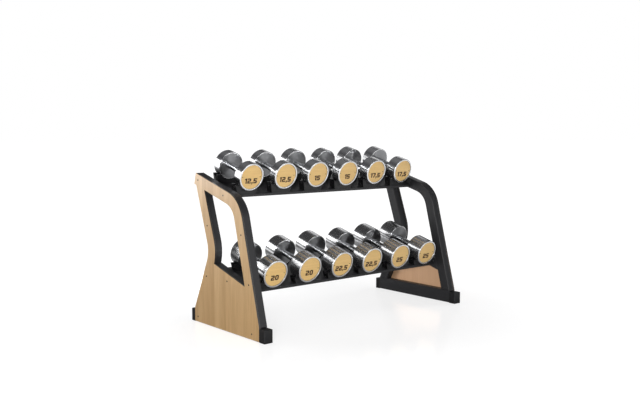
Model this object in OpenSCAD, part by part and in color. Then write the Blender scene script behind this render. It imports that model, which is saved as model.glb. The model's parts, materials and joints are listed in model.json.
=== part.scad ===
// Two-tier dumbbell rack: two bent-tube end frames faced with wood, two
// tilted trays with moulded saddles, and twelve round-head dumbbells.
// X runs along the rack, -Y is the front, +Z is up, and z = 0 is the floor.

/* [Rack] */
// Width over the two wood panels
rack_w = 1420; // [1200:10:1800]
// Height of the top rear corner
rack_h = 790; // [700:5:1000]
// Depth over the front and rear end caps
base_depth = 660; // [560:5:820]

/* [Tube] */
// Width of the frame tube, seen from the side
tube_w = 60; // [48:1:74]
// Thickness of the frame tube, along X
tube_t = 40; // [30:1:60]
// Wall of the frame tube
wall = 2.5; // [2:0.5:4]
// Height of the base beam's top face
base_h = 74; // [60:1:95]
// Air below the base beam, which hangs between its caps
base_gap = 2; // [1:0.5:5]

/* [Profile] */
// Tilt of the bars and trays, rising to the rear
tilt = 15.9; // [10:0.1:20]
// From the front of the base to the shoulder's sharp corner
shoulder_back = 203; // [160:1:250]
// Outer radius of the shoulder bend
shoulder_r = 167; // [120:1:190]
// From the rear of the base to the top bar's upper rear corner
bar_back = 61; // [40:1:90]
// How far the top bar runs on past the rear leg
bar_overhang = 20; // [10:1:40]
// Height of the rear leg's waist
waist_h = 386; // [330:1:460]
// From the rear of the base to the waist's sharp corner
waist_in = 181; // [150:1:215]
// Rear radius of the waist bend
waist_r = 132; // [90:1:160]
// Height of the cross bar's top face at mid depth
cross_h = 302; // [260:1:362]

/* [Wood panels] */
// Thickness of a wood panel
panel_t = 10; // [6:1:15]
// Width of the panel's front and rear stiles
stile_w = 66; // [60:1:76]
// Radius of the window's top front corner
window_r = 98; // [60:1:115]
// Fillet below the panel's top rear tab
tab_r = 12; // [4:1:16]
// Radius of a panel screw's head
screw_r = 4.2; // [3:0.1:6]
// Height of a panel screw's head above the wood
screw_h = 1.2; // [0.8:0.1:2]

/* [End caps] */
// Height of an end cap
cap_h = 66; // [50:1:72]
// Length of the front cap
front_cap = 44; // [30:1:60]
// Length of the rear cap
rear_cap = 34; // [24:1:50]
// Corner radius of the caps
cap_r = 4; // [2:0.5:6]
// How far caps and plugs reach into the tube
plug_in = 22; // [15:1:40]
// Thickness of the plug's head at the end of the top bar
plug_head = 4; // [2:0.5:6]

/* [Trays] */
// From the front of the base to the upper tray
upper_back = 373; // [340:1:400]
// From the front of the base to the lower tray
lower_back = 174; // [160:1:200]
// Length of the upper tray along its slope
upper_len = 240; // [210:1:246]
// Length of the lower tray along its slope
lower_len = 285; // [260:1:300]
// Tray sheet
sheet = 3; // [2:0.5:4]
// From the bar's underside up to the upper tray's lower edge
upper_lift = 5; // [2:1:14]
// From the cross bar's underside up to the lower tray's lower edge
lower_lift = 17; // [8:1:20]
// Height of the tray's front and rear flanges
flange_h = 14; // [10:1:18]
// From the bar's top down to the tray's end plates
end_below = 4; // [2:1:8]
// Radius across the corners of a tray bolt's head
bolt_r = 7.5; // [5:0.5:9]
// Height of a bolt head
bolt_h = 5.5; // [4:0.5:7]
// From a tray's front or rear edge to its end bolts
bolt_in = 32; // [20:1:50]

/* [Saddles] */
// Thickness of an upper saddle below the dumbbell
upper_seat_t = 27; // [20:1:40]
// Thickness of a lower saddle below the dumbbell
lower_seat_t = 12; // [8:1:20]
// Gap between a head and its saddle
seat_gap = 0.5; // [0.3:0.1:1]
// Height of a saddle's horns above the low point of its seat
horn_rise = 22; // [16:1:30]
// Height of the web between the two ribs above the same point
web_rise = 9; // [6:1:13]
// Half width of a saddle at its top
saddle_top = 72; // [64:1:84]
// Half width of a saddle at the tray
saddle_foot = 57; // [50:1:70]
// Length of a saddle along the slope
saddle_len = 44; // [36:1:50]
// Thickness of each rib
rib_t = 12; // [8:1:16]
// From the tray's front edge to the front saddles
front_seat = 2; // [1:1:8]
// From the tray's front edge to the upper rear saddles
upper_seat = 181; // [176:1:188]
// From the tray's front edge to the lower rear saddles
lower_seat = 225; // [215:1:236]
// Distance between the two screws of a saddle
saddle_pitch = 60; // [40:1:80]
// Radius across the corners of a saddle screw's head
saddle_screw_r = 5; // [3:0.5:7]

/* [Dumbbells] */
// Upper tier's weights in kilograms, from the left
upper_kg = [12.5, 12.5, 15, 15, 17.5, 17.5]; // 10 to 20 each
// Lower tier's weights in kilograms, from the left
lower_kg = [20, 20, 22.5, 22.5, 25, 25]; // 15 to 27 each
// Diameter of a head
head_d = 146; // [110:1:180]
// Length of the grip between the heads
grip_len = 147; // [130:1:165]
// Diameter of the grip
grip_d = 32; // [26:1:38]
// How far a front face stands out past its tray
face_out = 23; // [15:1:35]
// Bevel on the edges of a head
bevel = 3; // [0.5:0.5:5]
// Width of the steel ring round the wood disc
ring_w = 9; // [6:1:14]
// Thickness of a wood disc
disc_t = 4; // [3:0.5:6]
// How deep the disc's face lies inside the ring
disc_sink = 4; // [1:0.5:5]
// Gap round the wood disc
disc_gap = 0.3; // [0.2:0.1:0.5]

/* [Hidden] */
$fn = 96;
steel = 7.85e-6;
arc_steps = 18;
fit_gap = 0.2;
soft_black = "#2a2a2c";
moulded_black = "#1d1d20";
honey_wood = "#cda472";
chrome = "#c9cdd1";

per_row = len(upper_kg);
sides = ["left", "right"];
tiers = ["upper", "lower"];

// Along X
panel_x = rack_w / 2 - panel_t;
inner_x = panel_x - tube_t;
pitch = 2 * inner_x / per_row;
function place_x(i) = (i - (per_row + 1) / 2) * pitch;

// Lines in the side view, each [point, direction], with points as [y, z]
function unit(v) = v / norm(v);
function turn(v) = [-v[1], v[0]];
function wedge(a, b) = a[0] * b[1] - a[1] * b[0];
function shift(line, d) = [line[0] + d * turn(line[1]), line[1]];
function meet(a, b) = a[0] + a[1] * wedge(b[0] - a[0], b[1]) / wedge(a[1], b[1]);
function through(a, b) = [a, unit(b - a)];
function level(z) = [[0, z], [1, 0]];
function upright(y) = [[y, 0], [0, 1]];

// An arc of radius r that rounds the corner p between its neighbours
function arc_corner(before, p, after, r) =
    let (u = unit(before - p), w = unit(after - p), half = acos(u * w) / 2,
         centre = p + unit(u + w) * r / sin(half),
         a = p + u * r / tan(half) - centre,
         b = p + w * r / tan(half) - centre,
         start = atan2(a[1], a[0]),
         sweep = (atan2(b[1], b[0]) - start + 540) % 360 - 180)
    [for (i = [0:arc_steps]) let (angle = start + sweep * i / arc_steps)
        centre + r * [cos(angle), sin(angle)]];

// An outline whose corners are given as [point, radius]
function rounded(corners) =
    let (n = len(corners))
    [for (i = [0:n - 1]) let (p = corners[i][0], r = corners[i][1])
        each r == 0 ? [p] : arc_corner(corners[(i + n - 1) % n][0], p, corners[(i + 1) % n][0], r)];

// The frame's lines
slope = [cos(tilt), sin(tilt)];
front_y = -base_depth / 2 + front_cap;
rear_y = base_depth / 2 - rear_cap;
bar_top = [[base_depth / 2 - bar_back, rack_h], slope];
bar_low = shift(bar_top, -tube_w);
bar_end = [bar_top[0], turn(slope)];
shoulder = meet(bar_top, upright(-base_depth / 2 + shoulder_back));
front_line = through([front_y, base_h], shoulder);
waist = [base_depth / 2 - waist_in, waist_h];
rear_line = through(waist, meet(bar_low, bar_end) - slope * bar_overhang);
splay_line = through([rear_y, base_h], waist);
cross_top = [[0, cross_h], slope];
cross_low = shift(cross_top, -tube_w);

// Outlines of the tubes. With inset and reach they draw the hollow, which
// lies inset from the tube's walls and runs out past its two ends.
function bent_outline(inset = 0, reach = 0) =
    let (leg = shift(front_line, -inset), leg_in = shift(front_line, inset - tube_w),
         bar = shift(bar_top, -inset), bar_in = shift(bar_top, inset - tube_w),
         foot = level(base_h - reach), end = shift(bar_end, plug_head - reach))
    rounded([[meet(leg, foot), 0], [meet(leg, bar), shoulder_r - inset], [meet(bar, end), 0],
             [meet(bar_in, end), 0], [meet(leg_in, bar_in), shoulder_r - tube_w + inset],
             [meet(leg_in, foot), 0]]);

function rear_outline(inset = 0, reach = 0) =
    let (up = shift(rear_line, inset), up_in = shift(rear_line, tube_w - inset),
         down = shift(splay_line, inset), down_in = shift(splay_line, tube_w - inset),
         foot = level(base_h - reach), head = shift(bar_low, reach))
    rounded([[meet(down, foot), 0], [meet(up, down), waist_r + inset], [meet(up, head), 0],
             [meet(up_in, head), 0], [meet(up_in, down_in), waist_r + tube_w - inset],
             [meet(down_in, foot), 0]]);

function cross_outline(inset = 0, reach = 0) =
    let (top = shift(cross_top, -inset), low = shift(cross_low, inset),
         leg = shift(front_line, reach - tube_w), rear = upright(waist[0]))
    [meet(low, leg), meet(top, leg), meet(top, rear), meet(low, rear)];

panel_outline = rounded([
    [[front_y, base_gap], 0], [[front_y, base_h], 0], [shoulder, shoulder_r],
    [bar_top[0], 2], [meet(bar_low, bar_end), 2], [meet(bar_low, rear_line), tab_r],
    [waist, waist_r], [[rear_y, base_h], 0], [[rear_y, base_gap], 0]]);

// The panel's window, before the cross bar closes its lower end
stile_front = shift(front_line, -stile_w);
stile_rear = shift(rear_line, stile_w);
stile_foot = shift(splay_line, stile_w);
window_outline = rounded([
    [meet(stile_front, level(base_h)), 0], [meet(stile_front, bar_low), window_r],
    [meet(stile_rear, bar_low), 3], [meet(stile_rear, stile_foot), waist_r + stile_w],
    [meet(stile_foot, level(base_h)), 0]]);

// Where the panel's screws go, along the middle of the tubes behind it
mid = tube_w / 2;
leg_mid = shift(front_line, -mid);
rear_mid = shift(rear_line, mid);
bar_mid = shift(bar_top, -mid);
cross_mid = level(cross_h - tube_w * 3 / 4);
leg_spot = meet(leg_mid, level(cross_h - tube_w * 3 / 5));
cross_rear = meet(shift(splay_line, mid), cross_mid);
beam_mid = level(base_h * 2 / 5);
screw_spots = [
    meet(bar_mid, shift(bar_end, mid)),
    meet(bar_mid, upright(shoulder[0] + shoulder_r * 5 / 6)),
    meet(leg_mid, level(rack_h * 0.635)),
    meet(rear_mid, level(rack_h * 0.66)),
    leg_spot, cross_rear, (meet(leg_mid, cross_mid) + cross_rear) / 2,
    meet(beam_mid, upright(front_y + tube_w)),
    meet(beam_mid, upright(rear_y - mid))];

// Each tier's frame has its origin on the bar's underside at the tray's front
// edge, with Y up the slope and Z square to it
function pick(tier, upper, lower) = tier == "upper" ? upper : lower;
function tier_start(tier) =
    meet(pick(tier, bar_low, cross_low), upright(-base_depth / 2 + pick(tier, upper_back, lower_back)));
function tray_lift(tier) = pick(tier, upper_lift, lower_lift);
function tray_floor(tier) = tray_lift(tier) + flange_h;
function seat_t(tier) = pick(tier, upper_seat_t, lower_seat_t);
function axis_n(tier) = tray_floor(tier) + seat_t(tier) + head_d / 2;
end_top = tube_w - end_below;
module on_tier(tier)
    let (start = tier_start(tier))
    translate([0, start[0], start[1]]) rotate([tilt, 0, 0]) children();

// A side-view outline as a plate t thick, from x = start
module plate(start, t)
    translate([start, 0, 0]) rotate([90, 0, 90]) linear_extrude(t) children();

// The right-hand piece as it is, or mirrored to the left
module on_side(side) {
    if (side == "left") mirror([1, 0, 0]) children();
    else children();
}

// A box between two opposite corners
module block(low, high)
    translate(low) cube(high - low);

module bent_tube(side) color(soft_black) on_side(side) difference() {
    plate(inner_x, tube_t) polygon(bent_outline());
    plate(inner_x + wall, tube_t - 2 * wall) polygon(bent_outline(wall, wall));
}

module rear_leg(side) color(soft_black) on_side(side) difference() {
    plate(inner_x, tube_t) polygon(rear_outline());
    plate(inner_x + wall, tube_t - 2 * wall) polygon(rear_outline(wall, wall));
}

module cross_bar(side) color(soft_black) on_side(side) difference() {
    plate(inner_x, tube_t) difference() {
        polygon(cross_outline());
        polygon(rear_outline());
    }
    plate(inner_x + wall, tube_t - 2 * wall) polygon(cross_outline(wall, wall));
}

module base_beam(side) color(soft_black) on_side(side) difference() {
    block([inner_x, front_y, base_gap], [panel_x, rear_y, base_h]);
    block([inner_x + wall, front_y - 1, base_gap + wall], [panel_x - wall, rear_y + 1, base_h - wall]);
}

module panel(side) color(honey_wood) on_side(side)
    plate(panel_x, panel_t) difference() {
        polygon(panel_outline);
        difference() {
            polygon(window_outline);
            translate([0, cross_h]) rotate(tilt) translate([-rack_h, -rack_h]) square([2 * rack_h, rack_h]);
        }
    }

module panel_screws() color(moulded_black)
    for (side = sides, spot = screw_spots) on_side(side)
        translate([rack_w / 2, spot[0], spot[1]]) rotate([0, 90, 0]) {
            cylinder(r = screw_r, h = screw_h);
            translate([0, 0, -panel_t - 2 * wall]) cylinder(r = screw_r / 2, h = panel_t + 2 * wall);
        }

// One cap: the outside block, and the plug that fills the beam's mouth
module end_cap(face_y, mouth_y) {
    inward = sign(mouth_y - face_y);
    linear_extrude(cap_h) polygon(rounded([
        [[inner_x, mouth_y], 0], [[inner_x, face_y], cap_r],
        [[rack_w / 2, face_y], cap_r], [[rack_w / 2, mouth_y], 0]]));
    block([inner_x + wall + fit_gap, min(mouth_y, mouth_y + inward * plug_in), base_gap + wall + fit_gap],
          [panel_x - wall - fit_gap, max(mouth_y, mouth_y + inward * plug_in), base_h - wall - fit_gap]);
}

module end_caps() color(moulded_black)
    for (side = sides) on_side(side) {
        end_cap(-base_depth / 2, front_y);
        end_cap(base_depth / 2, rear_y);
    }

// The top bar's rear plug, drawn back from the bar's lower rear corner
module bar_plugs() color(moulded_black)
    for (side = sides) on_side(side)
        let (corner = meet(bar_low, bar_end))
        translate([0, corner[0], corner[1]]) rotate([tilt, 0, 0]) {
            block([inner_x, -plug_head, 0], [panel_x, 0, tube_w]);
            block([inner_x + wall + fit_gap, -plug_head - plug_in, wall + fit_gap],
                  [panel_x - wall - fit_gap, -plug_head, tube_w - wall - fit_gap]);
        }

module tray(tier) color(soft_black) on_tier(tier)
    let (run = pick(tier, upper_len, lower_len), low = tray_lift(tier), top = tray_floor(tier)) {
        block([-inner_x, 0, top - sheet], [inner_x, run, top]);
        for (y = [0, run - sheet])
            block([-inner_x, y, low], [inner_x, y + sheet, top]);
        for (x = [-inner_x, inner_x - sheet])
            block([x, 0, low], [x + sheet, run, end_top]);
    }

module tray_bolts() color(moulded_black)
    for (side = sides, tier = tiers) on_side(side) on_tier(tier)
        for (y = [bolt_in, pick(tier, upper_len, lower_len) - bolt_in])
            translate([inner_x - sheet - bolt_h, y, (tray_floor(tier) + end_top) / 2]) rotate([0, 90, 0]) {
                cylinder(r = bolt_r, h = bolt_h, $fn = 6);
                cylinder(r = bolt_r / 2, h = bolt_h + sheet + 2 * wall);
            }

// A slice of a saddle, its top cut to the round of the head it carries
module saddle_slice(tier, rise, from, t)
    let (height = seat_t(tier) + rise,
         half = saddle_foot + (saddle_top - saddle_foot) * height / (seat_t(tier) + horn_rise))
    translate([0, from + t, tray_floor(tier)]) rotate([90, 0, 0]) linear_extrude(t) difference() {
        polygon([[-saddle_foot, 0], [saddle_foot, 0], [half, height], [-half, height]]);
        translate([0, seat_t(tier) + head_d / 2]) circle(r = head_d / 2 + seat_gap);
    }

module saddles(tier, seat) color(moulded_black) on_tier(tier)
    for (i = [1:per_row]) translate([place_x(i), seat, 0]) {
        saddle_slice(tier, horn_rise, 0, rib_t);
        saddle_slice(tier, web_rise, rib_t, saddle_len - 2 * rib_t);
        saddle_slice(tier, horn_rise, saddle_len - rib_t, rib_t);
    }

module saddle_screws() color(moulded_black)
    for (tier = tiers) on_tier(tier)
        for (i = [1:per_row], seat = [front_seat, pick(tier, upper_seat, lower_seat)], side = [-1, 1])
            translate([place_x(i) + side * saddle_pitch / 2, seat + saddle_len / 2, tray_floor(tier) - sheet]) {
                translate([0, 0, -saddle_screw_r]) cylinder(r = saddle_screw_r, h = saddle_screw_r, $fn = 6);
                cylinder(r = saddle_screw_r / 2, h = sheet + seat_t(tier) / 2);
            }

// A head's length follows from the weight stamped on it: two steel heads, less
// the pockets for their discs, and the grip between them
disc_r = head_d / 2 - ring_w;
pocket = disc_t + disc_sink;
grip_mass = steel * PI * pow(grip_d / 2, 2) * grip_len;
function head_len(kg) =
    ((kg - grip_mass) / steel / 2 + PI * pow(disc_r, 2) * pocket) / (PI * pow(head_d / 2, 2));
function weight(tier, i) = pick(tier, upper_kg, lower_kg)[i - 1];

// A dumbbell's own frame: Z runs along its axis from the front face
module on_dumbbell(tier, i) on_tier(tier)
    translate([place_x(i), -face_out, axis_n(tier)]) rotate([-90, 0, 0]) children();

module head(length) rotate_extrude() polygon([
    [0, pocket], [disc_r, pocket], [disc_r, 0], [head_d / 2 - bevel, 0], [head_d / 2, bevel],
    [head_d / 2, length - bevel], [head_d / 2 - bevel, length], [0, length]]);

module heads(tier, i) color(chrome) on_dumbbell(tier, i)
    let (length = head_len(weight(tier, i))) {
        head(length);
        translate([0, 0, 2 * length + grip_len]) mirror([0, 0, 1]) head(length);
    }

module grip(tier, i) color(chrome) on_dumbbell(tier, i)
    translate([0, 0, head_len(weight(tier, i))]) cylinder(d = grip_d, h = grip_len);

module discs(tier, i) color(honey_wood) on_dumbbell(tier, i)
    for (z = [disc_sink, 2 * head_len(weight(tier, i)) + grip_len - pocket])
        translate([0, 0, z]) cylinder(r = disc_r - disc_gap, h = disc_t);

bent_tube("left");  // left_bent_tube
bent_tube("right");  // right_bent_tube
rear_leg("left");  // left_rear_leg
rear_leg("right");  // right_rear_leg
cross_bar("left");  // left_cross_bar
cross_bar("right");  // right_cross_bar
base_beam("left");  // left_base_beam
base_beam("right");  // right_base_beam
panel("left");  // left_panel
panel("right");  // right_panel
panel_screws();
end_caps();
bar_plugs();
tray("upper");  // upper_tray
tray("lower");  // lower_tray
tray_bolts();
saddles("upper", front_seat);  // upper_front_saddles
saddles("upper", upper_seat);  // upper_rear_saddles
saddles("lower", front_seat);  // lower_front_saddles
saddles("lower", lower_seat);  // lower_rear_saddles
saddle_screws();
for (tier = tiers, i = [1:per_row]) {
    heads(tier, i);
    grip(tier, i);
    discs(tier, i);
}
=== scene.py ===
# %% [markdown]
# # A two-tier rack with twelve dumbbells
# The object is a weights rack. Two bent-tube end frames stand on low beams,
# each faced with a beech panel, and carry two sloping steel trays. Moulded
# saddles on the trays hold six chrome dumbbells a tier.
#
# The sizes come from a CAD frame that is already settled, so nothing is placed
# by eye here. The lesson adds what the CAD leaves out: rounded tube corners,
# screw heads with sockets, turned chrome, wood grain and wear.

import json
import math

import bmesh
import bpy
from mathutils import Matrix, Vector


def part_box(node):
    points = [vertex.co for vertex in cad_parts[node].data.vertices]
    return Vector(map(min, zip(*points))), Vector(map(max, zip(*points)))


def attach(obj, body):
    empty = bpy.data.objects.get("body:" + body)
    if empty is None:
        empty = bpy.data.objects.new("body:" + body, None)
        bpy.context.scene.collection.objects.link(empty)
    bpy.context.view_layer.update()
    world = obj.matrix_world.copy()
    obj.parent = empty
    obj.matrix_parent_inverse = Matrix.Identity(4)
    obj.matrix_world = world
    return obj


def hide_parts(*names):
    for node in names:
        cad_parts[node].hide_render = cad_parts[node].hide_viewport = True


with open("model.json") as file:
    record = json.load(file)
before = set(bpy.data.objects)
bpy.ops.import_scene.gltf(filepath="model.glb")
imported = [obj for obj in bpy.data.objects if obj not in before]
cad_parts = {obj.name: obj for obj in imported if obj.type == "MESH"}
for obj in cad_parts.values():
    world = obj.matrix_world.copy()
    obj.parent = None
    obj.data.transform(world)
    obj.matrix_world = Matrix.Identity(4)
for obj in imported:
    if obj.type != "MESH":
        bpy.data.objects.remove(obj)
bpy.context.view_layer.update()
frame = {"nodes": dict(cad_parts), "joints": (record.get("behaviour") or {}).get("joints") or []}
MM = 0.001
DOUBLES = 0.01 * MM  # points closer than this are one point
across = Vector((1, 0, 0))
lift_axis = Vector(frame["joints"][0]["axis"]).normalized()
up_slope = Vector((0, lift_axis.z, -lift_axis.y))
tilt = math.atan2(-lift_axis.y, lift_axis.z)
tiers, sides, row = ("upper", "lower"), ("left", "right"), range(1, 7)
print("tray tilt", round(math.degrees(tilt), 1), "degrees")

# %% [markdown]
# ## Camera
# A product picture of a low, wide object is taken from about chest height with
# a slightly long lens, so the end frames keep their true shape. The camera
# could aim at the object through a constraint. Plain numbers are used instead,
# because nothing here moves and they can't drift.

# %% Camera
camera_data = bpy.data.cameras.new("camera")
camera_data.lens = 43.63
camera_data.sensor_width = 36
camera = bpy.data.objects.new("camera", camera_data)
camera.location = (-2.8171, -3.2444, 0.9744)
camera.rotation_euler = [math.radians(turn) for turn in (85.364, 0.111, -40.066)]
bpy.context.scene.collection.objects.link(camera)
bpy.context.scene.camera = camera
print("camera", [round(part, 2) for part in camera.location], "lens", round(camera_data.lens, 2), "mm")

# %% [markdown]
# ## Node helper
# Every material and Geometry Nodes tree below is made of nodes joined by links.
# Adding a node, setting its values and linking its inputs take three separate
# calls each, so one helper does all of it: a value that is a socket becomes a
# link, and any other value is typed into the input.

# %% Node helper
def add(tree, kind, inputs=None, **settings):
    node = tree.nodes.new(kind)
    for key, value in settings.items():
        setattr(node, key, value)
    for key, value in (inputs or {}).items():
        if isinstance(value, bpy.types.NodeSocket):
            tree.links.new(value, node.inputs[key])
        else:
            node.inputs[key].default_value = value
    return node


def maths(tree, operation, *values, clamp=False):
    inputs = dict(enumerate(values))
    return add(tree, "ShaderNodeMath", inputs, operation=operation, use_clamp=clamp).outputs[0]


def blend(tree, share, low, high):
    mix = add(tree, "ShaderNodeMix", data_type="RGBA")
    for socket, value in zip((mix.inputs[0], mix.inputs[6], mix.inputs[7]), (share, low, high)):
        if isinstance(value, bpy.types.NodeSocket):
            tree.links.new(value, socket)
        else:
            socket.default_value = value
    return mix.outputs[2]


def ranged(tree, value, low, high, to_low=0.0, to_high=1.0):
    sockets = {"Value": value, "From Min": low, "From Max": high, "To Min": to_low, "To Max": to_high}
    return add(tree, "ShaderNodeMapRange", sockets).outputs[0]


def placed(tree):
    """Where a point lies, in metres, in the object's own coordinates."""
    return add(tree, "ShaderNodeTexCoord").outputs["Object"]


def split(tree, vector):
    return add(tree, "ShaderNodeSeparateXYZ", {0: vector}).outputs


def noise(tree, vector, scale, detail, **more):
    inputs = {"Vector": vector, "Scale": scale, "Detail": detail}
    inputs.update({label.title(): value for label, value in more.items()})
    return add(tree, "ShaderNodeTexNoise", inputs).outputs["Fac"]


print("node helpers:", [helper.__name__ for helper in (add, maths, blend, ranged, placed, split, noise)])

# %% [markdown]
# A group is a tree of its own with named inputs and outputs. One helper makes
# it and hands back its inputs, and the other places it in a material.

# %% Group helpers
def group(name, inputs, outputs):
    tree = bpy.data.node_groups.new(name, "ShaderNodeTree")
    for direction, sockets in (("INPUT", inputs), ("OUTPUT", outputs)):
        for label, kind, *default in sockets:
            socket = tree.interface.new_socket(label, in_out=direction, socket_type=f"NodeSocket{kind}")
            if default:
                socket.default_value = default[0]
    return tree, add(tree, "NodeGroupInput").outputs


def use(tree, name, **inputs):
    made = add(tree, "ShaderNodeGroup", node_tree=bpy.data.node_groups[name])
    for label, value in inputs.items():
        socket = made.inputs[label.replace("_", " ").title()]
        if isinstance(value, bpy.types.NodeSocket):
            tree.links.new(value, socket)
        else:
            socket.default_value = value
    return made.outputs


print("group helpers:", [helper.__name__ for helper in (group, use)])

# %% [markdown]
# ## Shared effects
# Four effects turn up in several finishes: rubbed edges, a fine moulded or
# sprayed grain, settled dust, and the long grain of beech. Each one could be
# copied into every material. A shader node group is better, because it is built
# once and each material gives it its own sizes. The groups put out only masks,
# colours and heights, and the shader itself stays in the material.
#
# Rubbed edges are found by comparing the true normal with one that is rounded
# off over a small radius: they differ only along an edge.

# %% Rubbed edges
tree, given = group("edge_wear", [
    ("Radius", "Float", 2 * MM), ("Strength", "Float", 1.0), ("Patch Size", "Float", 20 * MM)],
    [("Mask", "Float")])
rounded = add(tree, "ShaderNodeBevel", {"Radius": given["Radius"]}, samples=4).outputs[0]
straight = add(tree, "ShaderNodeNewGeometry").outputs["Normal"]
alike = add(tree, "ShaderNodeVectorMath", {0: rounded, 1: straight}, operation="DOT_PRODUCT").outputs["Value"]
edge = maths(tree, "MULTIPLY", maths(tree, "SUBTRACT", 1.0, alike), given["Strength"])
patches = noise(tree, placed(tree), maths(tree, "DIVIDE", 1.0, given["Patch Size"]), 4.0)
patches = ranged(tree, patches, 0.42, 0.68)
add(tree, "NodeGroupOutput", {"Mask": maths(tree, "MULTIPLY", edge, patches, clamp=True)})
print("edge_wear has", len(tree.nodes), "nodes")

# %% Sprayed or moulded grain
tree, given = group("fine_grain", [("Size", "Float", 0.001)], [("Height", "Float"), ("Mottle", "Float")])
where = placed(tree)
beads = noise(tree, where, maths(tree, "DIVIDE", 1.0, given["Size"]), 2.0)
cloud = noise(tree, where, 9.0, 5.0)
add(tree, "NodeGroupOutput", {"Height": beads, "Mottle": ranged(tree, cloud, 0.3, 0.7)})
print("fine_grain has", len(tree.nodes), "nodes")

# %% Settled dust
tree, given = group("dust", [("Amount", "Float", 0.2)], [("Mask", "Float")])
facing = split(tree, add(tree, "ShaderNodeNewGeometry").outputs["Normal"])["Z"]
upward = maths(tree, "MULTIPLY", ranged(tree, facing, 0.3, 1.0), given["Amount"])
specks = ranged(tree, noise(tree, placed(tree), 60.0, 6.0, roughness=0.7), 0.35, 0.7)
add(tree, "NodeGroupOutput", {"Mask": maths(tree, "MULTIPLY", upward, specks)})
print("dust has", len(tree.nodes), "nodes")

# %% [markdown]
# Beech is glued up from narrow strips. Each strip gets its own shade from a
# white-noise value of its number, and its grain is noise drawn out along the
# strip. Short dark flecks are what tells beech from maple, so they get a
# stretched noise of their own, cut off near its peak.

# %% Beech grain
DARK_FLECK = (0.24, 0.11, 0.04, 1)
tree, given = group("beech", [
    ("Strip Width", "Float", 0.05), ("Strip Contrast", "Float", 0.5), ("Grain Turn", "Vector"),
    ("Pale", "Color", (0.75, 0.5, 0.27, 1)), ("Deep", "Color", (0.5, 0.27, 0.11, 1))],
    [("Color", "Color"), ("Height", "Float")])
where = add(tree, "ShaderNodeMapping", {"Vector": placed(tree), "Rotation": given["Grain Turn"]}).outputs[0]
strip = maths(tree, "FLOOR", maths(tree, "DIVIDE", split(tree, where)["Y"], given["Strip Width"]))
tone = add(tree, "ShaderNodeTexWhiteNoise", {"W": strip}, noise_dimensions="1D").outputs["Value"]
offset = add(tree, "ShaderNodeCombineXYZ", {"Z": maths(tree, "MULTIPLY", tone, 7.0)}).outputs[0]


def drawn_out(*stretch):
    inputs = {"Vector": where, "Location": offset, "Scale": stretch}
    return add(tree, "ShaderNodeMapping", inputs).outputs[0]


lines = noise(tree, drawn_out(60, 60, 2.2), 3.0, 6.0, roughness=0.62, distortion=0.25)
figure = noise(tree, drawn_out(11, 11, 0.9), 2.0, 3.0)
fleck = ranged(tree, noise(tree, drawn_out(900, 900, 120), 1.0, 1.0), 0.66, 0.74)
grain = maths(tree, "ADD", maths(tree, "MULTIPLY", ranged(tree, lines, 0.3, 0.7), 0.45),
              maths(tree, "MULTIPLY", ranged(tree, figure, 0.3, 0.7), 0.35))
deep = maths(tree, "ADD", grain, maths(tree, "MULTIPLY", tone, given["Strip Contrast"]), clamp=True)
tint = blend(tree, deep, given["Pale"], given["Deep"])
flecked = blend(tree, maths(tree, "MULTIPLY", fleck, 0.35), tint, DARK_FLECK)
height = maths(tree, "SUBTRACT", maths(tree, "MULTIPLY", lines, 0.5), maths(tree, "MULTIPLY", fleck, 0.5))
add(tree, "NodeGroupOutput", {"Color": flecked, "Height": height})
print("beech has", len(tree.nodes), "nodes")

# %% [markdown]
# ## Finishes
# A material is one Principled BSDF fed by those groups. The tubes are powder
# coated: matte black with a faint orange peel, rubbed paler along the edges.
# The caps and saddles are moulded plastic, darker and a little softer looking.

# %% Material helper and black finishes
def finish(name, **uniform):
    material = bpy.data.materials.new(name)
    material.use_nodes = True
    nodes = material.node_tree
    shader = nodes.nodes["Principled BSDF"]
    for label, value in uniform.items():
        shader.inputs[label.replace("_", " ").title()].default_value = value
    return material, nodes, shader


def feed(nodes, shader, **sockets):
    for label, socket in sockets.items():
        nodes.links.new(socket, shader.inputs[label.replace("_", " ").title()])


def bumped(nodes, shader, height, distance):
    bump = add(nodes, "ShaderNodeBump", {"Height": height, "Distance": distance, "Strength": 1.0})
    nodes.links.new(bump.outputs[0], shader.inputs["Normal"])


def shaded(colour, share):
    """A colour with each part multiplied by share, and never over 1."""
    return [min(1, share * part) for part in colour[:3]] + [1]


def black_finish(name, colour, pale, grain_size, grain_depth, rough, wear, dust):
    material, nodes, shader = finish(name)
    grain = use(nodes, "fine_grain", size=grain_size)
    rubbed = use(nodes, "edge_wear", radius=0.0025, strength=wear, patch_size=0.03)["Mask"]
    settled = use(nodes, "dust", amount=dust)["Mask"]
    tone = blend(nodes, grain["Mottle"], shaded(colour, 0.8), colour)
    tone = blend(nodes, maths(nodes, "ADD", rubbed, settled, clamp=True), tone, pale)
    mottled = ranged(nodes, grain["Mottle"], 0, 1, rough - 0.05, rough + 0.06)
    feed(nodes, shader, base_color=tone, roughness=mottled)
    bumped(nodes, shader, grain["Height"], grain_depth)
    return material


powder_coat = black_finish(
    "powder_coat", colour=(0.022, 0.022, 0.024, 1), pale=(0.16, 0.16, 0.165, 1),
    grain_size=1.6 * MM, grain_depth=0.07 * MM, rough=0.46, wear=1.0, dust=0.10)
cap_plastic = black_finish(
    "cap_plastic", colour=(0.008, 0.008, 0.009, 1), pale=(0.10, 0.10, 0.10, 1),
    grain_size=0.7 * MM, grain_depth=0.09 * MM, rough=0.5, wear=0.7, dust=0.12)
saddle_plastic = black_finish(
    "saddle_plastic", colour=(0.006, 0.006, 0.007, 1), pale=(0.05, 0.05, 0.055, 1),
    grain_size=0.9 * MM, grain_depth=0.08 * MM, rough=0.42, wear=0.8, dust=0.1)
black_steel = black_finish(
    "black_steel", colour=(0.008, 0.006, 0.005, 1), pale=(0.05, 0.05, 0.05, 1),
    grain_size=0.5 * MM, grain_depth=0.02 * MM, rough=0.6, wear=0.6, dust=0.0)
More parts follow.
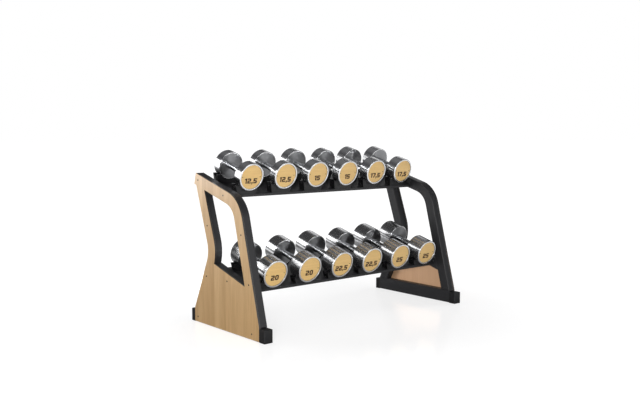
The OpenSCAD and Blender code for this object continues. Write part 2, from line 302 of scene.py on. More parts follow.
print("black finishes:", powder_coat.name, cap_plastic.name, saddle_plastic.name, black_steel.name)

# %% [markdown]
# The wood is beech under a satin lacquer. The panels are made of upright
# strips, and each dumbbell's disc is cut from one piece, so the disc asks the
# same group for a strip wider than itself. A clear coat over a rougher base
# gives the lacquer's soft double sheen.
#
# The panels' edges are stained black. Above 0.3 m, where the tubes back it,
# the inner face is painted black too, as painted shade. Lower down that face
# is bare, and a little redder.

# %% Wood finishes
RED_TONE = (0.62, 0.36, 0.25, 1)
# Near black, for the stained edges and for the painted shade on the inner face.
BLACK_STAIN_AND_SHADE = (0.022, 0.018, 0.016, 1)
# Above this height the inner face is painted black as shade.
SHADE_PAINTED_ABOVE = 0.3  # metres up, on the inner face


# Stains the edges black, reddens the inner face, and paints shade in black on that face above 0.3 m.
def stain_and_paint_shade(nodes, colour):
    normal = add(nodes, "ShaderNodeNewGeometry").outputs["True Normal"]
    sideways, place = split(nodes, normal)["X"], split(nodes, placed(nodes))
    inward = maths(nodes, "LESS_THAN", maths(nodes, "MULTIPLY", sideways, place["X"]), 0.0)
    colour = blend(nodes, maths(nodes, "MULTIPLY", inward, 0.55), colour, RED_TONE)
    # Painted shade: the inner face turns black above the set height.
    painted_shade = maths(nodes, "MULTIPLY", inward, maths(nodes, "GREATER_THAN", place["Z"], SHADE_PAINTED_ABOVE))
    flat = ranged(nodes, maths(nodes, "ABSOLUTE", sideways), 0.86, 0.98)
    return blend(nodes, maths(nodes, "SUBTRACT", flat, painted_shade, clamp=True), BLACK_STAIN_AND_SHADE, colour)


def wood_finish(name, strip, contrast, turn, pale, deep, stained_and_shaded=False):
    material, nodes, shader = finish(name, coat_weight=0.8, coat_roughness=0.3)
    wood = use(nodes, "beech", strip_width=strip, strip_contrast=contrast, grain_turn=turn,
               pale=pale, deep=deep)
    rubbed = use(nodes, "edge_wear", radius=0.0015, strength=0.8, patch_size=0.04)["Mask"]
    colour = blend(nodes, rubbed, wood["Color"], shaded(pale, 1.3))
    if stained_and_shaded:
        colour = stain_and_paint_shade(nodes, colour)
    feed(nodes, shader, base_color=colour, roughness=ranged(nodes, wood["Height"], -0.3, 0.5, 0.52, 0.4))
    bumped(nodes, shader, wood["Height"], 0.12 * MM)
    return material


panel_beech = wood_finish(
    "panel_beech", strip=0.052, contrast=0.30, turn=(0, 0, 0),
    pale=(0.78, 0.52, 0.25, 1), deep=(0.50, 0.285, 0.105, 1), stained_and_shaded=True)
disc_beech = wood_finish(
    "disc_beech", strip=3.0, contrast=0.0, turn=(0, math.pi / 2, 0),
    pale=(0.92, 0.62, 0.24, 1), deep=(0.72, 0.45, 0.15, 1))
CHAR, SINGED = (0.022, 0.008, 0.004, 1), (0.05, 0.02, 0.009, 1)
burnt, nodes, shader = finish("burnt_numeral")
scorch = use(nodes, "fine_grain", size=1.2 * MM)["Height"]
feed(nodes, shader, base_color=blend(nodes, scorch, CHAR, SINGED),
     roughness=ranged(nodes, scorch, 0.3, 0.7, 0.75, 0.6))
bumped(nodes, shader, scorch, 0.1 * MM)
print("wood finishes:", panel_beech.name, disc_beech.name, burnt.name)

# %% [markdown]
# Chrome shows what stands round it, so its own colour matters little and its
# faults matter more: a faint haze, fine polishing lines and fingerprints. The
# lines run round the axis, as the lathe left them. A line's place depends only
# on how far along the profile it lies, which each lathed piece stores as the
# attribute "station".
#
# Such lines smear a reflection across them, which the shader calls
# anisotropy. It needs a direction, and the default one would follow nothing on
# a turned part, so the lathe also writes a UV map that runs along the profile.

# %% Chrome finishes
BARE_METAL = (0.9, 0.9, 0.9, 1)


def chrome_finish(name, colour, rough, haze, stretch, ring_pitch, ring_depth):
    material, nodes, shader = finish(name, metallic=1.0, anisotropic=stretch)
    tangent = add(nodes, "ShaderNodeTangent", direction_type="UV_MAP", uv_map="turning").outputs[0]
    nodes.links.new(tangent, shader.inputs["Tangent"])
    station = add(nodes, "ShaderNodeAttribute", attribute_name="station").outputs["Fac"]
    scaled = maths(nodes, "DIVIDE", station, ring_pitch)
    rings = add(nodes, "ShaderNodeTexNoise", {"W": scaled, "Detail": 2.0}, noise_dimensions="1D")
    rings = rings.outputs["Fac"]
    smear = ranged(nodes, noise(nodes, placed(nodes), 14.0, 3.0, distortion=0.6), 0.4, 0.8)
    rubbed = use(nodes, "edge_wear", radius=0.0015, strength=0.6, patch_size=0.03)["Mask"]
    tone = blend(nodes, maths(nodes, "MULTIPLY", smear, 0.35), colour, shaded(colour, 0.9))
    faults = maths(nodes, "ADD", smear, maths(nodes, "MULTIPLY", rings, 0.4))
    feed(nodes, shader, base_color=blend(nodes, rubbed, tone, BARE_METAL),
         roughness=ranged(nodes, faults, 0, 1.4, rough, rough + haze))
    bumped(nodes, shader, rings, ring_depth)
    return material


polished = chrome_finish(
    "polished_chrome", colour=(0.78, 0.785, 0.795, 1), rough=0.22, haze=0.04, stretch=0.95,
    ring_pitch=4 * MM, ring_depth=0.0007 * MM)
turned = chrome_finish(
    "turned_chrome", colour=(0.36, 0.365, 0.375, 1), rough=0.3, haze=0.06, stretch=0.92,
    ring_pitch=3 * MM, ring_depth=0.002 * MM)
grip_chrome = chrome_finish(
    "grip_chrome", colour=(0.6, 0.61, 0.625, 1), rough=0.18, haze=0.04, stretch=0.9,
    ring_pitch=3 * MM, ring_depth=0.002 * MM)
print("chrome finishes:", polished.name, turned.name, grip_chrome.name)

# %% [markdown]
# ## From CAD node to finished piece
# A real tube's corners are rounded, and the CAD's are knife sharp, so they
# catch no light. Adding a Bevel to the CAD mesh itself isn't possible, because
# the frame is fixed. A merged copy takes the bevel instead and stands for the
# node. Weighted normals keep the flats flat, so that only the rounding shades.

# %% Piece helpers
FLAT_WITHIN, CORNER_OVER, SHARP_OVER = (math.radians(turn) for turn in (0.6, 30, 50))


def merged(node):
    mesh = bmesh.new()
    mesh.from_mesh(frame["nodes"][node].data)
    bmesh.ops.remove_doubles(mesh, verts=mesh.verts, dist=DOUBLES)
    bmesh.ops.dissolve_limit(mesh, angle_limit=FLAT_WITHIN, verts=mesh.verts, edges=mesh.edges)
    return mesh


def piece(name, mesh, *materials):
    data = bpy.data.meshes.new(name)
    mesh.to_mesh(data)
    mesh.free()
    for material in materials:
        data.materials.append(material)
    made = bpy.data.objects.new(name, data)
    bpy.context.scene.collection.objects.link(made)
    return made


def bake_modifiers(made):
    graph = bpy.context.evaluated_depsgraph_get()
    data = bpy.data.meshes.new_from_object(
        made.evaluated_get(graph), preserve_all_data_layers=True, depsgraph=graph)
    made.modifiers.clear()
    made.data = data
    return made


def weight_normals(made, sharp_over=SHARP_OVER):
    made.data.set_sharp_from_angle(angle=sharp_over)
    for face in made.data.polygons:
        face.use_smooth = True
    made.modifiers.new("weight", "WEIGHTED_NORMAL").keep_sharp = True
    return bake_modifiers(made)


def softened(name, node, material, width, segments=2):
    """A copy of a CAD node with its sharp outer edges rounded."""
    mesh = merged(node)
    edges = [e for e in mesh.edges
             if len(e.link_faces) == 2 and e.calc_face_angle(0) > CORNER_OVER and e.is_convex]
    bmesh.ops.bevel(mesh, geom=edges, offset=width, offset_type="OFFSET", segments=segments,
                    profile=0.5, affect="EDGES", clamp_overlap=True, loop_slide=True)
    return weight_normals(piece(name, mesh, material))


def settle(made, body, slot, *nodes):
    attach(made, body)
    if nodes:
        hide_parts(*nodes)
    return made


corners_over, sharp_over = (round(math.degrees(turn)) for turn in (CORNER_OVER, SHARP_OVER))
print("corners over", corners_over, "degrees are rounded; what stays over", sharp_over, "is drawn sharp")

# %% [markdown]
# ## End frames
# Each end frame is rectangular tube: one length bent into the front leg and
# top bar, a bowed rear leg, a cross bar and the base beam. The copy of a hollow
# tube can't be bevelled by 4 mm, because its wall is thinner than that. The
# tube's flat side holds its whole outline, though, so the outline is read off
# that face, drawn out to the tube's thickness and rounded along its length.
# The corners next to the panel are tighter, so that no gap shows between them.

# %% Rounded tubes
TUBES = ("bent_tube", "rear_leg", "cross_bar", "base_beam")
OPEN_CORNER, SEAM_CORNER = 4 * MM, 1.2 * MM
BEND_UNDER = 0.5  # radians: a bend's own facets are flatter than this


def side_outline(node):
    mesh = merged(node)
    flat = max((f for f in mesh.faces if abs(f.normal.x) > 0.99), key=lambda f: f.calc_area())
    outline = [(corner.co.y, corner.co.z) for corner in flat.verts]
    mesh.free()
    return outline


def rounded_tube(name, node):
    low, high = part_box(node)
    mesh = bmesh.new()
    flat = mesh.faces.new([mesh.verts.new((low.x, y, z)) for y, z in side_outline(node)])
    drawn = bmesh.ops.extrude_face_region(mesh, geom=[flat])["geom"]
    moved = [part for part in drawn if isinstance(part, bmesh.types.BMVert)]
    bmesh.ops.translate(mesh, verts=moved, vec=(high.x - low.x, 0, 0))
    bmesh.ops.recalc_face_normals(mesh, faces=mesh.faces)
    for outer, reach in ((False, OPEN_CORNER), (True, SEAM_CORNER)):
        edges = []
        for edge in mesh.edges:
            start, end = (abs(corner.co.x) for corner in edge.verts)
            if abs(start - end) < MM and (start > abs(low.x + high.x) / 2) == outer:
                if edge.calc_face_angle(0) > BEND_UNDER:
                    edges.append(edge)
        bmesh.ops.bevel(mesh, geom=edges, offset=reach, offset_type="OFFSET", segments=4,
                        profile=0.5, affect="EDGES", clamp_overlap=True)
    return weight_normals(piece(name, mesh, powder_coat))


for side in sides:
    for part in TUBES:
        node = f"{side}_{part}"
        tube = settle(rounded_tube(f"{node}_rounded", node), "rack", "frame", node)
        print(tube.name, len(tube.data.polygons), "faces")

# %% [markdown]
# ## Panels, caps and plugs
# The beech panels are routed with a small round on every edge. The caps and
# plugs are plastic mouldings, whose corners are softer still.

# %% Panels, caps and plugs
def soften(node, how, slot, material, width, segments=2):
    """Stands a softened copy for a node of the rack and says how many faces it has."""
    made = settle(softened(f"{node}_{how}", node, material, width, segments), "rack", slot, node)
    print(made.name, len(made.data.polygons), "faces")


for side in sides:
    soften(f"{side}_panel", "routed", "wood_panel", panel_beech, 1.2 * MM)
soften("end_caps", "moulded", "cap", cap_plastic, 2.5 * MM, segments=3)
soften("bar_plugs", "moulded", "cap", cap_plastic, 1.2 * MM)

# %% [markdown]
# ## Trays and saddles
# A tray is folded from sheet, so its outer bends have a real radius. The
# saddles are injection moulded, and a rounded rim runs round each of them.

# %% Trays and saddles
for tier in tiers:
    soften(f"{tier}_tray", "folded", "frame", powder_coat, 1.3 * MM)
    for end in ("front", "rear"):
        soften(f"{tier}_{end}_saddles", "moulded", "saddle", saddle_plastic, 1.8 * MM, segments=3)

# %% [markdown]
# ## Fasteners
# Panel screws, tray bolts, saddle screws and the small screws of the discs are
# one shape at different sizes: a head with a drive socket, and sometimes a
# washer. Copying a mesh for each would work, but a Geometry Nodes tree keeps
# the rule in one place. It takes a mesh of bare points, turns the head to the
# direction stored on each point, and cuts the socket once for all of them.

# %% Fastener tree
WASHER_CROWN = 0.96


def geometry_tree(name, inputs):
    tree = bpy.data.node_groups.new(name, "GeometryNodeTree")
    tree.interface.new_socket("Geometry", in_out="INPUT", socket_type="NodeSocketGeometry")
    for label, kind, default in inputs:
        socket = tree.interface.new_socket(label, in_out="INPUT", socket_type=f"NodeSocket{kind}")
        if default is not None:
            socket.default_value = default
    tree.interface.new_socket("Geometry", in_out="OUTPUT", socket_type="NodeSocketGeometry")
    return tree, add(tree, "NodeGroupInput").outputs


tree, given = geometry_tree("fasteners", [
    ("Head Radius", "Float", 4 * MM), ("Head Height", "Float", 2 * MM), ("Crown", "Float", 0.8),
    ("Sides", "Int", 32), ("Socket Radius", "Float", 2 * MM), ("Socket Depth", "Float", MM),
    ("Socket Sides", "Int", 6), ("Washer Radius", "Float", 0.0),
    ("Washer Height", "Float", 0.1 * MM), ("Material", "Material", None)])
head = add(tree, "GeometryNodeMeshCone", {
    "Vertices": given["Sides"], "Radius Bottom": given["Head Radius"], "Depth": given["Head Height"],
    "Radius Top": maths(tree, "MULTIPLY", given["Head Radius"], given["Crown"])}).outputs["Mesh"]
socket_floor = maths(tree, "SUBTRACT", given["Head Height"], given["Socket Depth"])
socket_floor = add(tree, "ShaderNodeCombineXYZ", {"Z": socket_floor}).outputs[0]
driver = add(tree, "GeometryNodeMeshCone", {
    "Vertices": given["Socket Sides"], "Radius Bottom": given["Socket Radius"],
    "Radius Top": given["Socket Radius"],
    "Depth": maths(tree, "MULTIPLY", given["Socket Depth"], 2.0)}).outputs["Mesh"]
driver = add(tree, "GeometryNodeTransform", {"Geometry": driver, "Translation": socket_floor}).outputs[0]
cut = add(tree, "GeometryNodeMeshBoolean", {0: head, 1: driver}, operation="DIFFERENCE").outputs["Mesh"]
lifted = add(tree, "ShaderNodeCombineXYZ", {"Z": given["Washer Height"]}).outputs[0]
cut = add(tree, "GeometryNodeTransform", {"Geometry": cut, "Translation": lifted}).outputs[0]
washer = add(tree, "GeometryNodeMeshCone", {
    "Vertices": 32, "Radius Bottom": given["Washer Radius"], "Depth": given["Washer Height"],
    "Radius Top": maths(tree, "MULTIPLY", given["Washer Radius"], WASHER_CROWN)}).outputs["Mesh"]
has_washer = maths(tree, "GREATER_THAN", given["Washer Radius"], 0.0)
washer = add(tree, "GeometryNodeSwitch", {0: has_washer, "True": washer}, input_type="GEOMETRY").outputs[0]
whole = add(tree, "GeometryNodeJoinGeometry")
tree.links.new(washer, whole.inputs[0])
tree.links.new(cut, whole.inputs[0])
facing = add(tree, "GeometryNodeInputNamedAttribute", {"Name": "facing"}, data_type="FLOAT_VECTOR")
facing = facing.outputs["Attribute"]
turned_to = add(tree, "FunctionNodeAlignRotationToVector", {"Vector": facing}, axis="Z").outputs[0]
points = add(tree, "GeometryNodeMeshToPoints", {"Mesh": given["Geometry"]}).outputs[0]
copies = add(tree, "GeometryNodeInstanceOnPoints", {
    "Points": points, "Instance": whole.outputs[0], "Rotation": turned_to}).outputs[0]
real = add(tree, "GeometryNodeRealizeInstances", {"Geometry": copies}).outputs[0]
done = add(tree, "GeometryNodeSetMaterial", {"Geometry": real, "Material": given["Material"]}).outputs[0]
add(tree, "NodeGroupOutput", {0: done})
print("fasteners tree has", len(tree.nodes), "nodes")

# %% Fastener helpers
def fasteners(name, points, facings, **inputs):
    """The fastener tree run on points, each with the direction it faces, as a plain mesh."""
    data = bpy.data.meshes.new(name)
    data.from_pydata([tuple(point) for point in points], [], [])
    layer = data.attributes.new("facing", "FLOAT_VECTOR", "POINT")
    for number, facing in enumerate(facings):
        layer.data[number].vector = facing
    made = bpy.data.objects.new(name, data)
    bpy.context.scene.collection.objects.link(made)
    modifier = made.modifiers.new("nodes", "NODES")
    modifier.node_group = bpy.data.node_groups["fasteners"]
    inputs["material"] = black_steel
    for socket in modifier.node_group.interface.items_tree:
        label = socket.name.replace(" ", "_").lower()
        if socket.in_out == "INPUT" and label in inputs:
            modifier[socket.identifier] = inputs[label]
    return bake_modifiers(made)


def solids(node):
    """The corners of each separate solid of a CAD node."""
    mesh = merged(node)
    left, found = set(mesh.verts), []
    while left:
        stack, seen = [left.pop()], []
        while stack:
            corner = stack.pop()
            seen.append(corner.co.copy())
            for edge in corner.link_edges:
                other = edge.other_vert(corner)
                if other in left:
                    left.discard(other)
                    stack.append(other)
        found.append(seen)
    mesh.free()
    return found


def spans(corners):
    """How far corners reach across the rack, up the slope of a tray, and square to it."""
    found = []
    for direction in (across, up_slope, lift_axis):
        reach = [corner.dot(direction) for corner in corners]
        found.append((min(reach), max(reach)))
    return found


def on_slope(x, along, above):
    return Vector((x, 0, 0)) + up_slope * along + lift_axis * above


print("the CAD has", len(solids("panel_screws")), "panel screws to stand heads on")

# %% [markdown]
# The CAD's screws and bolts are plain, so each gives only its middle and the
# end that shows. A head is set there, and faces outward.

# %% Panel screws
PROUD, WASHER_WALL, SEAT = 1.2 * MM, 5.5 * MM, 5 * MM  # from a CAD solid's end to its head's foot
points, facings = [], []
for corners in solids("panel_screws"):
    (x0, x1), (s0, s1), (n0, n1) = spans(corners)
    way = 1 if x1 > 0 else -1
    points.append(on_slope(way * (max(abs(x0), abs(x1)) - PROUD), (s0 + s1) / 2, (n0 + n1) / 2))
    facings.append((way, 0, 0))
settle(fasteners("panel_screw_heads", points, facings, head_radius=4.2 * MM, head_height=1.15 * MM,
                 crown=0.78, socket_radius=1.9 * MM, socket_depth=0.9 * MM),
       "rack", "screw", "panel_screws")
print(len(points), "panel screws")

# %% Tray bolts and saddle screws
points, facings = [], []
for corners in solids("tray_bolts"):
    (x0, x1), (s0, s1), (n0, n1) = spans(corners)
    way = 1 if x1 > 0 else -1
    points.append(on_slope(way * (min(abs(x0), abs(x1)) + WASHER_WALL), (s0 + s1) / 2, (n0 + n1) / 2))
    facings.append((-way, 0, 0))
settle(fasteners("tray_bolt_heads", points, facings, head_radius=6.6 * MM, head_height=4.2 * MM,
                 crown=0.97, sides=6, socket_radius=2.6 * MM, socket_depth=0.5 * MM, socket_sides=24,
                 washer_radius=8.2 * MM, washer_height=1.2 * MM),
       "rack", "screw", "tray_bolts")
print(len(points), "tray bolts")
points = []
for corners in solids("saddle_screws"):
    (x0, x1), (s0, s1), (n0, _) = spans(corners)
    points.append(on_slope((x0 + x1) / 2, (s0 + s1) / 2, n0 + SEAT))
settle(fasteners("saddle_screw_heads", points, [-lift_axis] * len(points), head_radius=4.8 * MM,
                 head_height=3.6 * MM, crown=0.8, socket_radius=2.2 * MM, socket_depth=1.8 * MM,
                 washer_radius=6.5 * MM, washer_height=1.0 * MM),
       "rack", "screw", "saddle_screws")
print(len(points), "saddle screws")

# %% [markdown]
# ## Dumbbells
# A head is turned on a lathe, so the same is done here: a profile of radius
# and distance along the axis is swept round it, ring by ring. A Screw modifier
# would give the same shape, but writing the rings keeps each point's place
# along the profile at hand, which becomes the attribute and the UV map that the
# chrome's lathe marks follow. Everything is measured from the CAD nodes: the
# axis, the lengths and the discs' pockets.

# %% Lathe
def lathe(profile, base, along, steps):
    """A surface of revolution from (radius, distance, material number) points."""
    mesh = bmesh.new()
    station = mesh.verts.layers.float.new("station")
    turning = mesh.loops.layers.uv.new("turning")
    up_way = along.cross(across)
    rings, run, before = [], 0.0, None
    for radius, far, material in profile:
        if before is not None:
            run += math.hypot(radius - before[0], far - before[1])
        before = (radius, far)
        count = 1 if radius < 1e-6 else steps
        ring = []
        for number in range(count):
            turn = 2 * math.pi * number / steps
            spoke = across * math.cos(turn) + up_way * math.sin(turn)
            corner = mesh.verts.new(base + along * far + spoke * radius)
            corner[station] = run
            ring.append(corner)
        rings.append((ring, material))
    for (inner, material), (outer, _) in zip(rings, rings[1:]):
        for number in range(steps):
            after = (number + 1) % steps
            corners = [inner[number % len(inner)], outer[number % len(outer)],
                       outer[after % len(outer)], inner[after % len(inner)]]
            turns = {}
            for corner, turn in zip(corners, (number, number, number + 1, number + 1)):
                turns[corner] = (turns[corner] + turn) / 2 if corner in turns else turn
            face = mesh.faces.new(list(turns))
            face.material_index = material
            for loop in face.loops:
                loop[turning].uv = (loop.vert[station], turns[loop.vert] / steps)
    bmesh.ops.recalc_face_normals(mesh, faces=mesh.faces)
    return mesh


print("a lathed piece's points carry their place along the profile, as", repr("station"))

# %% Rounded profile
def rounded_profile(corners, steps=4):
    """Profile points from (radius, distance, round, material) corners, with each round as a short arc."""
    points = []
    for number, (radius, far, round_by, material) in enumerate(corners):
        here = Vector((radius, far))
        if round_by and 0 < number < len(corners) - 1:
            before = Vector(corners[number - 1][:2]) - here
            after = Vector(corners[number + 1][:2]) - here
            start, end = (here + way.normalized() * round_by for way in (before, after))
            for step in range(steps + 1):
                share = step / steps
                point = start * (1 - share) ** 2 + here * 2 * share * (1 - share) + end * share ** 2
                points.append((point.x, point.y, material if step < steps else corners[number][3]))
        else:
            points.append((radius, far, material))
    return points


square = rounded_profile([(0, 0, 0, 0), (1, 0, 0.1, 0), (1, 1, 0, 0)])
print("a rounded corner becomes", len(square) - 2, "points")


# %% Sizes of a dumbbell
def measure(tier, number):
    """A dumbbell's axis, lengths and radii, read off its CAD nodes."""
    heads, grip, discs = (
        spans([corner.co for corner in frame["nodes"][f"{tier}_{number}_{part}"].data.vertices])
        for part in ("heads", "grip", "discs"))
    (x0, x1), (s0, s1), (n0, n1) = heads
    return {
        "base": on_slope((x0 + x1) / 2, s0, (n0 + n1) / 2), "length": s1 - s0,
        "head": grip[1][0] - s0, "sink": discs[1][0] - s0, "head_radius": (x1 - x0) / 2,
        "grip_radius": (grip[0][1] - grip[0][0]) / 2, "disc_radius": (discs[0][1] - discs[0][0]) / 2}


lightest = measure("upper", 1)
print({name: round(size / MM, 1) for name, size in lightest.items() if name != "base"}, "mm")

# %% Profiles
POLISHED, TURNED = 0, 1  # a head's two materials, in order
DISC_DEPTH, CLEARANCE = 4 * MM, 0.3 * MM
LIP_ROUND, OUTER_ROUND, INNER_ROUND = 0.5 * MM, 4 * MM, 2.2 * MM
# Grooves: how far in from the rim or from the grip's end, and how deep
LATHE_MARK = [(5 * MM, 0), (5.6 * MM, 0.7 * MM), (7 * MM, 0.7 * MM), (7.6 * MM, 0)]
GRIP_GROOVE = [(9 * MM, 0), (10 * MM, 0.8 * MM), (12 * MM, 0.8 * MM), (13 * MM, 0)]
GROOVE_ROUND = 0.4 * MM
HEAD_STEPS, GRIP_STEPS, DISC_STEPS = 112, 64, 96
TURNED_SHARP_OVER = math.radians(40)


def head_profile(size):
    outer, length, pocket = size["head_radius"], size["head"], size["disc_radius"] + CLEARANCE
    floor = size["sink"] + DISC_DEPTH
    return rounded_profile([
        (0, floor, 0, TURNED), (pocket, floor, 0, TURNED), (pocket, 0, LIP_ROUND, POLISHED),
        (outer, 0, OUTER_ROUND, POLISHED), (outer, length, INNER_ROUND, POLISHED),
        *((outer - inset, length - deep, 0, TURNED) for inset, deep in LATHE_MARK), (0, length, 0, TURNED)])


def grip_profile(size):
    start, end, radius = size["head"], size["length"] - size["head"], size["grip_radius"]
    return rounded_profile([
        (0, start, 0, 0), (radius, start, 0, 0),
        *((radius - deep, start + inset, GROOVE_ROUND, 0) for inset, deep in GRIP_GROOVE),
        *((radius - deep, end - inset, GROOVE_ROUND, 0) for inset, deep in reversed(GRIP_GROOVE)),
        (radius, end, 0, 0), (0, end, 0, 0)])


def disc_profile(size):
    radius, sink = size["disc_radius"], size["sink"]
    return rounded_profile([(0, sink, 0, 0), (radius, sink, 0.6 * MM, 0), (radius, sink + DISC_DEPTH, 0, 0),
                            (0, sink + DISC_DEPTH, 0, 0)])


print("a head's profile has", len(head_profile(lightest)), "points")


# %% Heads and grips
def lathed(name, parts, *materials):
    whole = bmesh.new()
    for part in parts:
        data = bpy.data.meshes.new("part")
        part.to_mesh(data)
        part.free()
        whole.from_mesh(data)
        bpy.data.meshes.remove(data)
    return weight_normals(piece(name, whole, *materials), TURNED_SHARP_OVER)


sizes = {}
for tier in tiers:
    for number in row:
        size = sizes[tier, number] = measure(tier, number)
        base, far_end = size["base"], size["base"] + up_slope * size["length"]
        body, node = f"{tier}_dumbbell_{number}", f"{tier}_{number}"
        heads = [lathe(head_profile(size), base, up_slope, HEAD_STEPS),
                 lathe(head_profile(size), far_end, -up_slope, HEAD_STEPS)]
        settle(lathed(f"{node}_heads_turned", heads, polished, turned), body, "chrome_head", f"{node}_heads")
        grip = [lathe(grip_profile(size), base, up_slope, GRIP_STEPS)]
        settle(lathed(f"{node}_grip_turned", grip, grip_chrome), body, "chrome_grip", f"{node}_grip")
    print(tier, "heads", [round(sizes[tier, number]["head"] / MM, 1) for number in row], "mm long")

# %% [markdown]
# ## Discs, numerals and disc screws
# A wood disc lies in each head's pocket, held by two small screws, with the
# weight burnt into it. A text object could give the figures, but its font is
# thin and round. The real ones are heavy and squared, so each figure is drawn
# as an outline on a grid: a flat curve whose fill leaves the holes open, made
# into a mesh before it is put in its place.

# %% Figures
FIGURES = {  # how wide each figure is, and its outlines, on a grid 10 high
    "0": (8, [[(1.8, 0), (6.2, 0), (8, 1.8), (8, 8.2), (6.2, 10), (1.8, 10), (0, 8.2), (0, 1.8)],
              [(2.8, 2.4), (2.8, 7.6), (5.2, 7.6), (5.2, 2.4)]]),
    "1": (4.8, [[(2, 0), (4.8, 0), (4.8, 10), (1.6, 10), (0, 8.4), (0, 7), (2, 7)]]),
    "2": (8, [[(0, 0), (8, 0), (8, 2.4), (2.8, 2.4), (2.8, 3.8), (6.4, 3.8), (8, 5.4), (8, 8.4),
               (6.4, 10), (0, 10), (0, 7.6), (5.2, 7.6), (5.2, 6.2), (1.6, 6.2), (0, 4.6)]]),
    "5": (8, [[(8, 10), (0, 10), (0, 3.8), (5.2, 3.8), (5.2, 2.4), (0, 2.4), (0, 0), (6.4, 0),
               (8, 1.6), (8, 4.6), (6.4, 6.2), (2.8, 6.2), (2.8, 7.6), (8, 7.6)]]),
    "7": (7.6, [[(1.4, 0), (4.3, 0), (7.6, 7.2), (7.6, 10), (0, 10), (0, 7.6), (4.9, 7.6)]]),
    ",": (2.8, [[(0, 2.6), (0, 0), (1, 0), (0.2, -2), (1.6, -2), (2.8, 0.3), (2.8, 2.6)]]),
}
GRID, SPACE, HALF_HIGH, FIGURE_DEPTH = 2.75 * MM, 1.2, 5, 0.5 * MM


def figures(name, words, placing):
    """The figures in words as a mesh, centred, with placing turning their flat into its place."""
    width = sum(FIGURES[letter][0] for letter in words) + SPACE * (len(words) - 1)
    curve = bpy.data.curves.new(name, "CURVE")
    curve.dimensions, curve.fill_mode, curve.extrude = "2D", "BOTH", FIGURE_DEPTH / 2
    start = -width / 2
    for letter in words:
        for outline in FIGURES[letter][1]:
            spline = curve.splines.new("POLY")
            spline.points.add(len(outline) - 1)
            spline.use_cyclic_u = True
            for point, (x, y) in zip(spline.points, outline):
                point.co = ((start + x) * GRID, (y - HALF_HIGH) * GRID, 0, 1)
        start += FIGURES[letter][0] + SPACE
    drawn = bpy.data.objects.new(name + "_curve", curve)
    bpy.context.scene.collection.objects.link(drawn)
    graph = bpy.context.evaluated_depsgraph_get()
    data = bpy.data.meshes.new_from_object(drawn.evaluated_get(graph))
    bpy.data.objects.remove(drawn)
    data.transform(placing)
    return data


def placing(origin, right, up, out):
    return Matrix([[right[i], up[i], out[i], origin[i]] for i in range(3)] + [[0, 0, 0, 1]])


print("figures", "".join(FIGURES), "stand", round(2 * HALF_HIGH * GRID / MM, 1), "mm high")


# %% Discs with their numerals and screws
WEIGHTS = {"upper": ("12,5", "12,5", "15", "15", "17,5", "17,5"),
           "lower": ("20", "20", "22,5", "22,5", "25", "25")}
DROP, SCREW_OUT = 20.5 * MM, 54 * MM  # from the disc's centre, to the numeral and to a screw
for tier in tiers:
    for number in row:
        size = sizes[tier, number]
        body, node = f"{tier}_dumbbell_{number}", f"{tier}_{number}"
        far_end = size["base"] + up_slope * size["length"]
        ends = ((size["base"], up_slope, across), (far_end, -up_slope, -across))
        discs = [lathe(disc_profile(size), base, along, DISC_STEPS) for base, along, right in ends]
        settle(lathed(f"{node}_discs_cut", discs, disc_beech), body, "wood_disc", f"{node}_discs")
        numerals, screws, facings = bmesh.new(), [], []
        for base, along, right in ends:
            face = base + along * size["sink"]
            spot = placing(face - lift_axis * DROP, right, lift_axis, -along)
            numerals.from_mesh(figures(f"{node}_text", WEIGHTS[tier][number - 1], spot))
            screws += [face + across * SCREW_OUT, face - across * SCREW_OUT]
            facings += [-along, -along]
        bmesh.ops.remove_doubles(numerals, verts=numerals.verts, dist=DOUBLES)
        settle(piece(f"{node}_numerals", numerals, burnt), body, "wood_disc")
        settle(fasteners(f"{node}_disc_screws", screws, facings, head_radius=2.4 * MM,
                         head_height=0.7 * MM, crown=0.8, sides=24, socket_radius=1.1 * MM,
                         socket_depth=0.5 * MM), body, "screw")
    print(tier, "discs carry", WEIGHTS[tier])

# %% [markdown]
# ## Floor and light
# The floor is a pale, slightly glossy sweep, so the frames leave a soft grey
# reflection under them. It glows a little for the camera, more with distance,
# so it fades into the backdrop and shows no horizon. A reflection sees another
# glow: in front of the rack, which lights the heads from below, and far out on
# the left, which lays a pale sheen on the near panel's upper half.

# %% Floor
FLOOR_HALF = 150  # metres
floor_mesh = bmesh.new()
bmesh.ops.create_grid(floor_mesh, x_segments=1, y_segments=1, size=FLOOR_HALF)
floor_paint, nodes, shader = finish(
    "floor_paint", base_color=(0.42, 0.42, 0.423, 1), roughness=0.16, emission_color=(1, 1, 1, 1))
path, spot = add(nodes, "ShaderNodeLightPath").outputs, placed(nodes)
away = add(nodes, "ShaderNodeVectorMath", {0: spot}, operation="LENGTH").outputs["Value"]
backdrop = ranged(nodes, away, 0.7, 2.2, 0.74, 1.0)
in_front = ranged(nodes, split(nodes, spot)["Y"], -0.35, -0.7, 0.0, 0.75)
on_the_left = ranged(nodes, split(nodes, spot)["X"], -1.25, -2.3, 0.0, 1.15)
mirrored = maths(nodes, "MULTIPLY", maths(nodes, "MAXIMUM", in_front, on_the_left), path["Is Glossy Ray"])
glow = add(nodes, "ShaderNodeMix", {0: path["Is Camera Ray"], 2: mirrored, 3: backdrop}).outputs[0]
nodes.links.new(glow, shader.inputs["Emission Strength"])
floor = piece("floor", floor_mesh, floor_paint)

# %% [markdown]
# Chrome shows its surroundings, so these are kept dark apart from four
# softboxes. Behind the rack, a near one on the left draws the white band along
# every head, and a wide, dimmer one on the right lights the tops. In front
# stand a strong key on the left and a large, weak fill. Two more lights are
# left out of every reflection, and brighten the right frame inside and out.
#
# A light's brightness to the eye is its power over its area, so the softboxes
# are set by brightness, and the power follows.

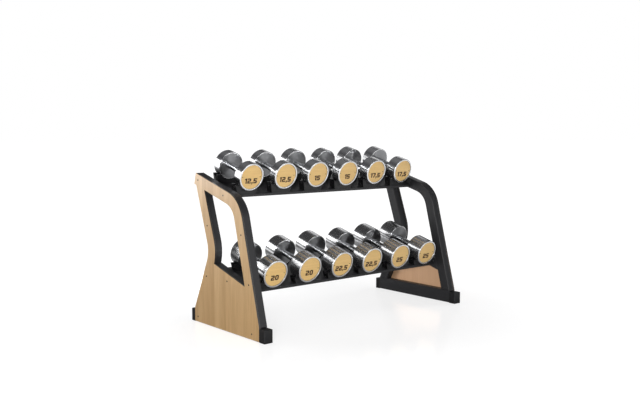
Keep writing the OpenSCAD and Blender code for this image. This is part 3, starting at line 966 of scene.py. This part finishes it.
# %% World and lights
SKY = [(0.0, (0.14, 0.14, 0.145, 1)), (0.7, (0.07, 0.07, 0.074, 1)), (1.0, (0.22, 0.22, 0.225, 1))]
scene = bpy.context.scene
scene.view_settings.view_transform = "Standard"
world = bpy.data.worlds.new("studio")
scene.world = world
world.use_nodes = True
nodes = world.node_tree
height = split(nodes, add(nodes, "ShaderNodeTexCoord").outputs["Generated"])["Z"]
ramp = add(nodes, "ShaderNodeValToRGB", {"Fac": height})
stops = ramp.color_ramp.elements
stops.new(SKY[1][0])
for stop, (position, colour) in zip(stops, SKY):
    stop.position, stop.color = position, colour
seen = add(nodes, "ShaderNodeLightPath").outputs["Is Camera Ray"]
sky = blend(nodes, seen, ramp.outputs["Color"], (1, 1, 1, 1))
nodes.links.new(sky, nodes.nodes["Background"].inputs["Color"])


def softbox(name, spot, target, width, height, brightness, mirrored=True):
    data = bpy.data.lights.new(name, "AREA")
    data.shape, data.size, data.size_y = "RECTANGLE", width, height
    data.energy = brightness * width * height * math.pi
    box = bpy.data.objects.new(name, data)
    box.location = spot
    box.rotation_euler = (Vector(target) - Vector(spot)).to_track_quat("-Z", "Y").to_euler()
    box.visible_camera, box.visible_glossy = False, mirrored
    bpy.context.scene.collection.objects.link(box)
    print(name, round(data.energy, 1), "W")


softbox("band_left", (-1.45, 1.05, 1.0), (-0.1, -0.2, 0.6), 0.9, 0.78, 3.0)
softbox("wide_right", (1.8, 1.7, 1.7), (0, 0, 0.5), 1.6, 1.1, 0.9)
softbox("key", (-3.2, -3.0, 0.9), (-0.3, 0, 0.4), 0.7, 0.7, 69.0)
softbox("fill_right", (3.6, -0.6, 1.5), (0.7, 0, 0.4), 1.6, 1.6, 6.0, mirrored=False)
softbox("low_rear", (-0.3, 1.4, 0.3), (0.6, 0, 0.15), 0.5, 0.3, 24.0, mirrored=False)
softbox("front", (0.4, -4.0, 1.5), (0, 0, 0.5), 2.2, 2.0, 2.6)

# %% Last update of the view layer
bpy.context.view_layer.update()
